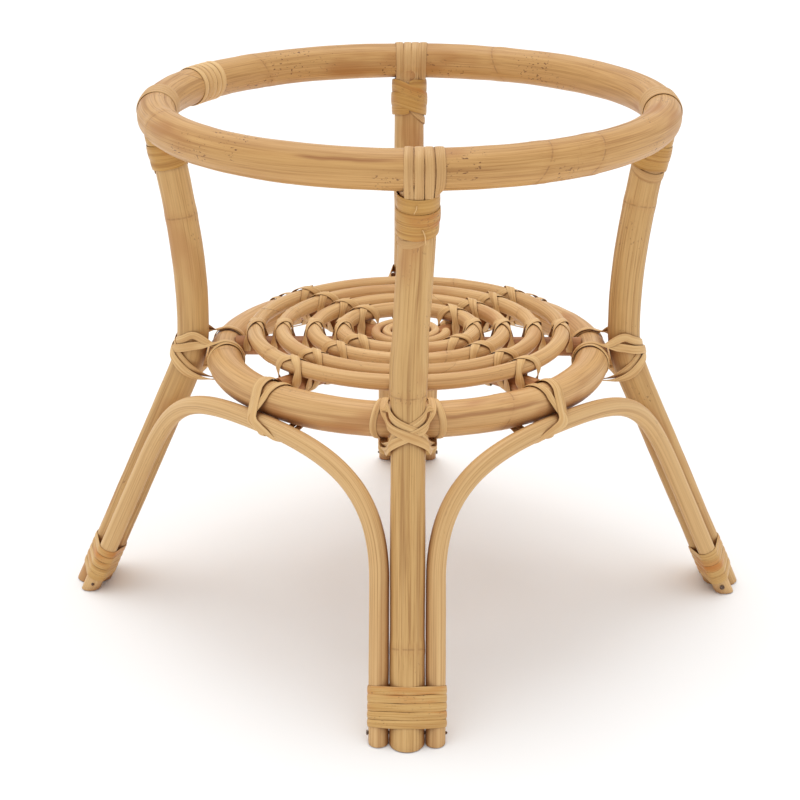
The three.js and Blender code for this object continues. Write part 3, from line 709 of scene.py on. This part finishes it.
# The coil in the middle of the shelf.
SPIRAL_CANE, SPIRAL_IN, SPIRAL_PITCH, SPIRAL_TURNS = 2.7, 3.4, 6.1, 3
swing = np.linspace(0, TAU * SPIRAL_TURNS, 400)
reach = SPIRAL_IN + SPIRAL_PITCH * swing / TAU
coil = np.stack([reach * np.cos(swing), reach * np.sin(swing),
                 np.full_like(swing, SPOKE_Z + SPOKE_TUBE + GAP + SPIRAL_CANE)], 1)
add(pole("shelf_coil", coil, SPIRAL_CANE, UP, seed=51, sides=22, step=1.0, knots=(60, 170)),
    shelf_skin, "shelf_cane", "shelf_spiral")

# ---- Bindings -------------------------------------------------------------------------------------

TURN_STEPS = 120  # steps of a turn, and points of the line drawn round the poles that it ties
CLIMB_FROM, CLIMB_OVER = 0.52, 0.42  # the part of a turn on which a winding climbs to the next


def levels(heights):
    """The height of a winding after a share of turns: level in front, climbing behind."""
    def at(turn):
        k = min(max(int(math.floor(turn)), 0), len(heights) - 1)
        after = heights[min(k + 1, len(heights) - 1)]
        climbed = float(smoothstep((turn - k - CLIMB_FROM) / CLIMB_OVER)) * (turn > 0)
        return heights[k] + (after - heights[k]) * climbed
    return at


def winding(circles, heights, layers):
    """Keys of turns round poles beside the leg, one for each height, from the inner side."""
    height, layer = levels(heights), levels(layers)
    before = TURN_STEPS // 4
    keys = []
    for i in range(-before, len(heights) * TURN_STEPS - before + 1, 2):
        turn = i / TURN_STEPS
        line = hull(circles, SEAT + layer(turn), TURN_STEPS)
        x, y, nx, ny = line[i % TURN_STEPS]
        mid, along = leg_at(height(turn))
        outwards = unit(np.cross(ACROSS, along))
        keys.append(np.r_[mid + x * ACROSS + y * outwards, nx * ACROSS + ny * outwards])
    return np.array(keys)


FOOT_CIRCLES = ((0, 0, LEG_TUBE), (BRACE_SIDE, 0, BRACE_TUBE), (-BRACE_SIDE, 0, BRACE_TUBE))
FOOT_LEVELS = [9.2 + 3.9 * k for k in range(5)]  # heights of the turns
TOP_LEVELS = [260.6, 266.3, 274.0]


def strap_keys(shift):
    """Four strips side by side over the ring and down both faces of the leg, joined by loops that lie
    in each other under the band."""
    count, pitch, dip, dip_step = 4, 4.9, 6.5, 5.4
    tail, face, loop = 268, 274, 270  # heights on the leg: the cut ends, the straight runs, the loops
    widest = 0.95  # share of the leg's radius, beyond which a strip would leave its face
    on_leg, over = LEG_TUBE + SEAT, TOP_TUBE + SEAT
    sides = [pitch * (i - (count - 1) / 2) + shift for i in range(count)]
    keys = []
    for i, side in enumerate(sides):
        lean = math.asin(np.clip(side / on_leg, -widest, widest))
        keys.append(leg_key(tail, on_leg, lean))
        keys.append(leg_key(face, on_leg, lean))
        keys += [ring_key(TOP_R, TOP_Z, over, k * math.pi / 12, side) for k in range(-2, 15)]
        keys.append(leg_key(face, on_leg, -math.pi - lean))
        if i + 1 == count:
            keys.append(leg_key(tail, on_leg, -math.pi - lean))
            break
        after = math.asin(np.clip(sides[i + 1] / on_leg, -widest, widest))
        for k in range(1, 12):
            share = k / 6 - 1
            turn = -math.pi - lean + (after + math.pi + lean) * k / 12
            depth = (dip + dip_step * i) * math.sqrt(1 - share * share)
            keys.append(leg_key(loop - depth, on_leg, turn))
    return np.array(keys)


# From the leg's middle to the turns, and how much more on the outer face of the ring.
WAIST_SIDE, WAIST_OUT = 12.4, 4.6
WAIST_NEAR = 1.5  # WAIST_OUT of the short last turns
WAIST_BROAD, WAIST_SLIM = 1.12, 0.86  # share of the strip's width on the leg and on the ring


def waist_keys():
    """Crossed lashing: slants over the leg's outer face, and turns round the ring on both sides that
    leave the leg a little on the ring's outer face."""
    on_leg, on_ring = LEG_TUBE + SEAT, LOW_TUBE + SEAT
    fan = math.radians(17)  # round the leg, from one key of a slant to the next

    def slant(direction, middle, half, layer):
        return [np.r_[leg_key(middle + half * k / 5, on_leg + layer, direction * k * fan), WAIST_BROAD]
                for k in range(-5, 6)]

    def turns(direction, first, last, layer, out=WAIST_OUT):
        keys = []
        for psi in range(first, last + 1, 30):
            aside = WAIST_SIDE + out * math.exp(-(((psi - 360) / 105) ** 2))
            lift = layer + LAYER * float(smoothstep((psi - 400) / 60))
            key = ring_key(LOW_R, LOW_Z, on_ring + lift, math.radians(psi), direction * aside)
            keys.append(np.r_[key, WAIST_SLIM])
        return keys

    return np.array([
        *turns(-1, 150, 630, 0), *slant(1, 149.8, 8.8, 0), *turns(1, 60, 630, 0),
        *slant(-1, 150.2, 8.6, LAYER), *turns(-1, 60, 270, LAYER, WAIST_NEAR),
        *slant(1, 145.0, 7.4, 2 * LAYER), *turns(1, 60, 270, 2 * LAYER, WAIST_NEAR),
        *slant(-1, 145.4, 7.0, 2.8 * LAYER), *turns(-1, 60, 240, 2 * LAYER, WAIST_NEAR),
    ])


def brace_keys(side, shift, pull):
    """Three turns round the ring and the arch that cross on the outer face, low down pulled aside."""
    bundle = ((0, 0, LOW_TUBE), (BRACE_TOUCH * math.cos(BRACE_TOP_ANGLE),
                                 BRACE_TOUCH * math.sin(BRACE_TOP_ANGLE), BRACE_TUBE))
    keys = []
    for i in range(0, 3 * TURN_STEPS - 1, 3):
        swing = TAU * i / TURN_STEPS
        turn = i // TURN_STEPS
        crossing = LAYER * turn * max(0.0, math.sin(swing / 2 - math.pi * turn)) ** 0.6
        line = hull(bundle, SEAT + crossing, TURN_STEPS)
        first = int(np.argmin(line[:, 2]))
        x, z, nx, nz = line[(first - i) % TURN_STEPS]
        low = float(smoothstep((0.7 - nz) / 1.2) * smoothstep((nx + 0.8) / 0.5))
        aside = side * (math.cos(swing / 2) - 0.42 * (turn == 2)) + pull * low + shift
        angle = QUARTER / 2 + aside / LOW_R
        keys.append(np.r_[turned([LOW_R + x, 0, LOW_Z + z], angle), turned([nx, 0, nz], angle)])
    return np.array(keys)


def tie_keys():
    """One strand in over the shelf's rings and under the spoke between them, and back out across
    itself."""
    seat, side = 0.5, 7.4
    on_ring, on_spoke = CANE + SEAT, SPOKE_TUBE + seat
    clear = CANE + SEAT + seat
    radii = [r for r, _ in SHELF_RINGS]
    slants = ((5, -side), (40, -0.8 * side), (70, -0.42 * side), (98, 0.0), (130, 0.42 * side),
              (165, 0.8 * side))

    def over(radius, layer):
        keys = []
        for turn, aside in slants:
            turn = math.radians(turn)
            keys.append(ring_key(radius, SHELF_Z, on_ring + layer * math.sin(turn) ** 2, turn, aside))
        return keys

    def under(start, end, layer):
        keys = []
        for k in range(5):
            turn = math.radians(-15 - 37.5 * k)
            out = np.array([0, math.cos(turn), math.sin(turn)])
            here = np.array([start + (end - start) * k / 4, 0, SPOKE_Z])
            keys.append(np.r_[here + (on_spoke + layer) * out, out])
        return keys

    def flip(keys):
        return [k * np.array([1, -1, 1, 1, -1, 1]) for k in keys][::-1]

    keys = [under(radii[0] + on_ring, radii[0] + on_ring, 0)[-1]]
    for i, radius in enumerate(radii):
        beyond = radii[i + 1] + clear if i < 3 else radius - clear
        keys += over(radius, 0) + under(radius - clear, beyond, 0)
    for i in (3, 2, 1, 0):
        keys += flip(over(radii[i], LAYER))
        if i:
            keys += under(radii[i] + clear, radii[i - 1] - clear, LAYER)
    keys.append(under(radii[0] + on_ring, radii[0] + on_ring, 0)[0])
    return np.array(keys)


WRAP_TURNS, WRAP_PITCH, WRAP_STRIP, WRAP_STEPS = 5, 4.9, 4.3, 24
joint = [ring_key(TOP_R, TOP_Z, TOP_TUBE + SEAT, TAU * i / WRAP_STEPS,
                  WRAP_PITCH * (i / WRAP_STEPS - WRAP_TURNS / 2), TOP_JOINT)
         for i in range(WRAP_TURNS * WRAP_STEPS + 1)]
add(strip("joint_binding", joint, WRAP_STRIP, seed=60), strip_skin, "cane_strip", "top_joint_wrap")

STRAP_SHIFT = (0.0, -1.2, 0.0, 2.8)  # of each leg's strap along the ring
# Widths of the cane.
FOOT_STRIP, NECK_STRIP, STRAP_STRIP, WAIST_STRIP, BRACE_STRIP, TIE_STRIP = 4.2, 8.4, 4.75, 4.3, 4.3, 4.7
NECK_LAYERS = (1.0, 1.45, 1.0)  # how far each turn of the neck band stands off its seat on the leg
for i, place in enumerate(LEGS):
    azimuth = i * QUARTER
    pieces = (
        ("foot_binding", winding(FOOT_CIRCLES, FOOT_LEVELS, [0] * 5), FOOT_STRIP, foot_skin,
         "cane_strip", "foot_band"),
        ("neck_binding", winding(FOOT_CIRCLES[:1], TOP_LEVELS, NECK_LAYERS), NECK_STRIP, band_skin,
         "cane_band", "top_band"),
        ("ring_strap", strap_keys(STRAP_SHIFT[i]), STRAP_STRIP, strap_skin, "cane_strip", "top_strap"),
        ("waist_binding", waist_keys(), WAIST_STRIP, strip_skin, "cane_strip", "waist_lashing"),
    )
    for k, (name, keys, width, material, slot, node) in enumerate(pieces):
        made = strip(f"{name}_{place}", turned_keys(keys, azimuth), width, seed=61 + 4 * i + k)
        if place == "front" and name in ("neck_binding", "ring_strap"):
            lean_over(made)
        add(made, material, slot, f"{node}_{place}")

# Each brace lashing's spread, its shift along the ring and how far it is pulled aside low down.
BRACE_TIES = ((8.2, 0, 5), (-8.2, 0, -5), (-8.0, 1.2, 10), (7.6, -2, -12))
for i, place in enumerate(BRACES):
    keys = turned_keys(brace_keys(*BRACE_TIES[i]), i * QUARTER)
    made = strip(f"brace_binding_{place}", keys, BRACE_STRIP, seed=81 + i)
    add(made, strip_skin, "cane_strip", f"brace_lashing_{place}")
for half, places in enumerate((LEGS, BRACES)):
    for i, place in enumerate(places):
        azimuth = (i + half / 2) * QUARTER
        keys = turned_keys(tie_keys(), azimuth)
        made = strip(f"shelf_tie_{place}", keys, TIE_STRIP, seed=90 + 4 * half + i)
        add(made, strip_skin, "cane_strip", f"spoke_tie_{place}")

# Splinters that stand off the front band: height, reach from the leg's middle and turn round it.
SPLINTERS = (((275.6, 11.4, -3), (273.6, 12.3, -5), (271.9, 12.9, -9)),
             ((263, 11.6, 12), (260, 12.5, 17), (256.6, 12.7, 19), (254.8, 12.2, 21)))
SPLINTER_STRIP = 0.55
for i, way in enumerate(SPLINTERS):
    keys = turned_keys([leg_key(z, reach, math.radians(turn)) for z, reach, turn in way], 3 * QUARTER)
    made = strip(f"splinter_{i + 1}", keys, SPLINTER_STRIP, seed=110 + i, step=0.5, thick=0.3, taper=1.0)
    lean_over(made)
    add(made, strip_skin, "cane_band", "top_band_front")

# ---- Nails ----------------------------------------------------------------------------------------


def lathe(name, outline, place, sides=20):
    """A body turned from an outline of radius and run. place moves its points, which are given
    straight up as (x, y, along), to where they belong."""
    angle = TAU * np.arange(sides) / sides
    rows = [np.stack([r * np.cos(angle), r * np.sin(angle), np.full(sides, z)], 1) for r, z in outline]
    rows = np.array(rows)
    return shell(name, place(rows), rows)


FOOT_NAIL_Z = 4.6
# Outlines of radius and run, the foot nail's from its head to its point across the foot, the leg nail's
# from its point up to its head by height.
FOOT_NAIL = ((0.35, -21.1), (0.95, -21.0), (1.4, -20.7), (1.4, -20.3), (0.9, -20.2), (0.9, 20.0),
             (0.8, 20.4), (0.3, 20.9))
LEG_NAIL = ((0.4, 257.7), (1.2, 260.2), (1.2, 298.7), (1.6, 298.8), (1.6, 299.5), (0.6, 299.7))
for i, place in enumerate(LEGS):
    def across_foot(rows, turn=i):
        x, y, along = (rows[..., k] for k in range(3))
        return turned(np.stack([x + leg_line(FOOT_NAIL_Z), along, y + FOOT_NAIL_Z], -1), turn * QUARTER)

    add(lathe(f"foot_pin_{place}", FOOT_NAIL, across_foot), steel, "nail_steel", f"foot_nail_{place}")

    def down_leg(rows, turn=i):
        flat = np.stack([rows[..., 0] + TOP_R, rows[..., 1], rows[..., 2]], -1)
        return turned(flat, turn * QUARTER)

    pin = lathe(f"leg_pin_{place}", LEG_NAIL, down_leg)
    if place == "front":
        lean_over(pin)
    add(pin, steel, "nail_steel", f"leg_nail_{place}")

# ---- Floor, light, camera ---------------------------------------------------------------------------

FLOOR_HALF, FLOOR_Z, FLOOR_WHITE = 9.0, -0.0004, 0.95  # metres, metres, albedo
floor = bpy.data.meshes.new("floor")
corners = [(x * FLOOR_HALF, y * FLOOR_HALF, 0) for x, y in ((-1, -1), (1, -1), (1, 1), (-1, 1))]
floor.from_pydata(corners, [], [(0, 1, 2, 3)])
floor_object = bpy.data.objects.new("floor", floor)
floor_object.location.z = FLOOR_Z
bpy.context.scene.collection.objects.link(floor_object)
plain = Nodes("floor_white")
plain.shader.inputs["Base Color"].default_value = (FLOOR_WHITE, FLOOR_WHITE, FLOOR_WHITE, 1)
plain.shader.inputs["Roughness"].default_value = 0.9
plain.shader.inputs["Specular IOR Level"].default_value = 0.0
floor.materials.append(plain.material)

AMBIENT = 0.83  # light from all round
SUN, SUN_ANGLE = 1.2, math.radians(50)
SUN_TILT = (math.radians(-14), math.radians(-6), 0)  # from above and a little behind
world = bpy.data.worlds.new("studio")
bpy.context.scene.world = world
world.use_nodes = True
tree = world.node_tree
back = tree.nodes["Background"]
back.inputs["Color"].default_value = (1, 1, 1, 1)
ray = tree.nodes.new("ShaderNodeLightPath")
seen = ray.outputs["Is Camera Ray"]
for kind in ("Is Glossy Ray", "Is Transmission Ray"):
    either = tree.nodes.new("ShaderNodeMath")
    either.operation = "MAXIMUM"
    tree.links.new(seen, either.inputs[0])
    tree.links.new(ray.outputs[kind], either.inputs[1])
    seen = either.outputs[0]
level = tree.nodes.new("ShaderNodeMapRange")
level.inputs["To Min"].default_value = AMBIENT
level.inputs["To Max"].default_value = 1.0
tree.links.new(seen, level.inputs["Value"])
tree.links.new(level.outputs[0], back.inputs["Strength"])

lamp = bpy.data.lights.new("soft_sun", "SUN")
lamp.energy = SUN
lamp.angle = SUN_ANGLE
lamp_object = bpy.data.objects.new("soft_sun", lamp)
lamp_object.rotation_euler = SUN_TILT
bpy.context.scene.collection.objects.link(lamp_object)

CAMERA_AT = (-0.00108, -1.0378, 0.51407)  # metres
CAMERA_LENS, CAMERA_SENSOR = 85.1, 36  # millimetres
CAMERA_TURN, CAMERA_PITCH, CAMERA_ROLL = degrees(0.202, 90 - 20.985, 0.171)
camera = bpy.data.cameras.new("camera")
camera.sensor_width = CAMERA_SENSOR
camera.lens = CAMERA_LENS
camera.clip_start = 0.05
camera.clip_end = 50
camera_object = bpy.data.objects.new("camera", camera)
camera_object.matrix_world = (
    Matrix.Translation(CAMERA_AT)
    @ Matrix.Rotation(CAMERA_TURN, 4, "Z")
    @ Matrix.Rotation(CAMERA_PITCH, 4, "X")
    @ Matrix.Rotation(CAMERA_ROLL, 4, "Z")
)
bpy.context.scene.collection.objects.link(camera_object)
bpy.context.scene.camera = camera_object
bpy.context.scene.view_settings.view_transform = "Standard"
